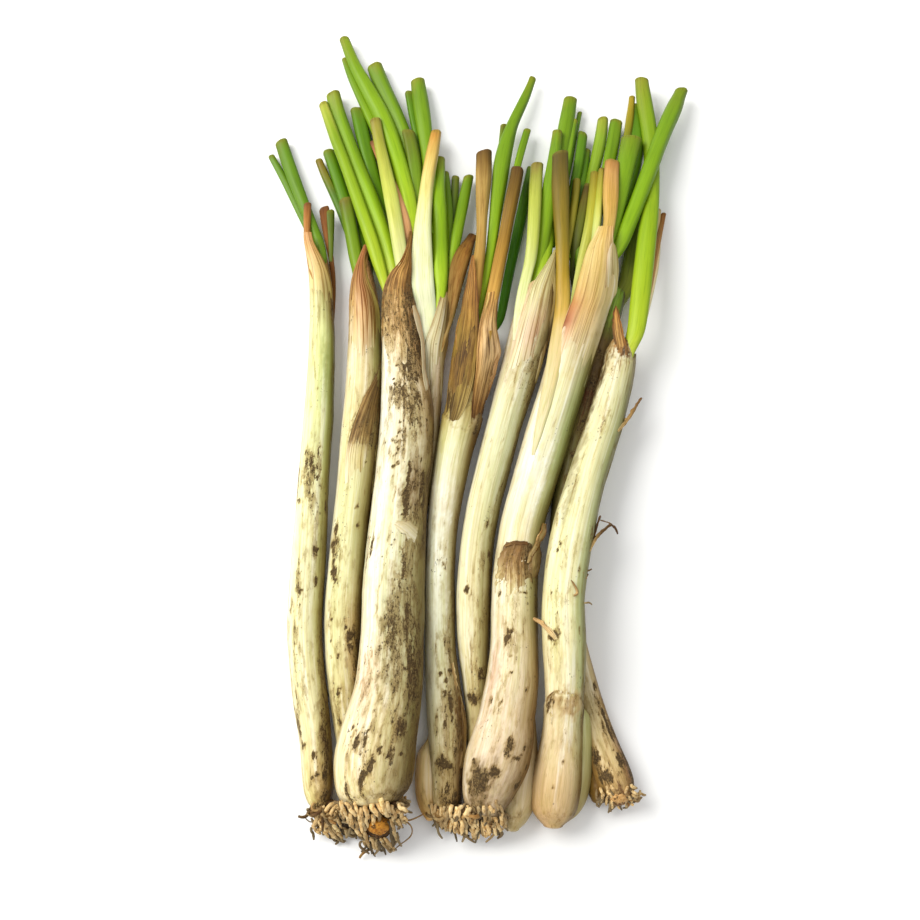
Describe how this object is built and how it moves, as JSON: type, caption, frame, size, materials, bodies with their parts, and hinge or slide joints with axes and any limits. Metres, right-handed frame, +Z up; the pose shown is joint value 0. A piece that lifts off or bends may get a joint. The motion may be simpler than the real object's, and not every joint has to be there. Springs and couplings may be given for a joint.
{
  "type": "bunch of rakkyo",
  "caption": "Bunch of freshly pulled rakkyo lying side by side: slim pale bulbs with short roots, long cream stalks with dry skins, and green leaves trimmed across.",
  "frame": {"origin": "centre of the bottom of the bounding box, on the surface the bunch lies on", "axes": "+Y along the stalks from the roots to the cut leaf tips, +Z up, +X to the right seen from above with the leaves at the top"},
  "size_m": [0.1354, 0.255, 0.0211],
  "materials": {
    "stalk_skin": "moist pale sheath skin with fine ribs, soil marks and brown papery patches",
    "green_leaf": "smooth waxy green leaf with fine lengthwise veins",
    "pale_leaf": "smooth cream leaf turning green or orange at the cut end",
    "dried_leaf": "dried leaf, brown and orange, matt and fibrous",
    "dry_skin": "loose dry papery skin",
    "roots": "rough trimmed roots with soil in them"
  },
  "bodies": {
    "root": {"rakkyo_1_leaf_1": "green_leaf", "rakkyo_1_leaf_2": "green_leaf", "rakkyo_1_leaf_3": "dried_leaf", "rakkyo_1_leaf_4": "dried_leaf", "rakkyo_1_roots": "roots", "rakkyo_1_stalk": "stalk_skin", "rakkyo_2_leaf_1": "green_leaf", "rakkyo_2_leaf_2": "green_leaf", "rakkyo_2_leaf_3": "green_leaf", "rakkyo_2_roots": "roots", "rakkyo_2_stalk": "stalk_skin", "rakkyo_3_leaf_1": "green_leaf", "rakkyo_3_leaf_10": "pale_leaf", "rakkyo_3_leaf_11": "green_leaf", "rakkyo_3_leaf_12": "green_leaf", "rakkyo_3_leaf_13": "dried_leaf", "rakkyo_3_leaf_2": "green_leaf", "rakkyo_3_leaf_3": "green_leaf", "rakkyo_3_leaf_4": "green_leaf", "rakkyo_3_leaf_5": "green_leaf", "rakkyo_3_leaf_6": "green_leaf", "rakkyo_3_leaf_7": "pale_leaf", "rakkyo_3_leaf_8": "green_leaf", "rakkyo_3_leaf_9": "green_leaf", "rakkyo_3_roots": "roots", "rakkyo_3_second_shoot": "stalk_skin", "rakkyo_3_stalk": "stalk_skin", "rakkyo_4_dry_flap": "dry_skin", "rakkyo_4_leaf_1": "dried_leaf", "rakkyo_4_leaf_2": "dried_leaf", "rakkyo_4_leaf_3": "green_leaf", "rakkyo_4_leaf_4": "green_leaf", "rakkyo_4_roots": "roots", "rakkyo_4_stalk": "stalk_skin", "rakkyo_5_leaf_1": "pale_leaf", "rakkyo_5_leaf_2": "green_leaf", "rakkyo_5_leaf_3": "green_leaf", "rakkyo_5_leaf_4": "green_leaf", "rakkyo_5_roots": "roots", "rakkyo_5_stalk": "stalk_skin", "rakkyo_6_leaf_1": "green_leaf", "rakkyo_6_leaf_10": "green_leaf", "rakkyo_6_leaf_2": "green_leaf", "rakkyo_6_leaf_3": "pale_leaf", "rakkyo_6_leaf_4": "pale_leaf", "rakkyo_6_leaf_5": "dried_leaf", "rakkyo_6_leaf_6": "green_leaf", "rakkyo_6_leaf_7": "green_leaf", "rakkyo_6_leaf_8": "green_leaf", "rakkyo_6_leaf_9": "green_leaf", "rakkyo_6_roots": "roots", "rakkyo_6_stalk": "stalk_skin", "rakkyo_6_torn_skin": "dry_skin", "rakkyo_7_dry_curl": "dry_skin", "rakkyo_7_leaf_1": "green_leaf", "rakkyo_7_skin_flap": "dry_skin", "rakkyo_7_stalk": "stalk_skin", "rakkyo_8_leaf_1": "green_leaf", "rakkyo_8_roots": "roots", "rakkyo_8_stalk": "stalk_skin"}
  },
  "joints": []
}
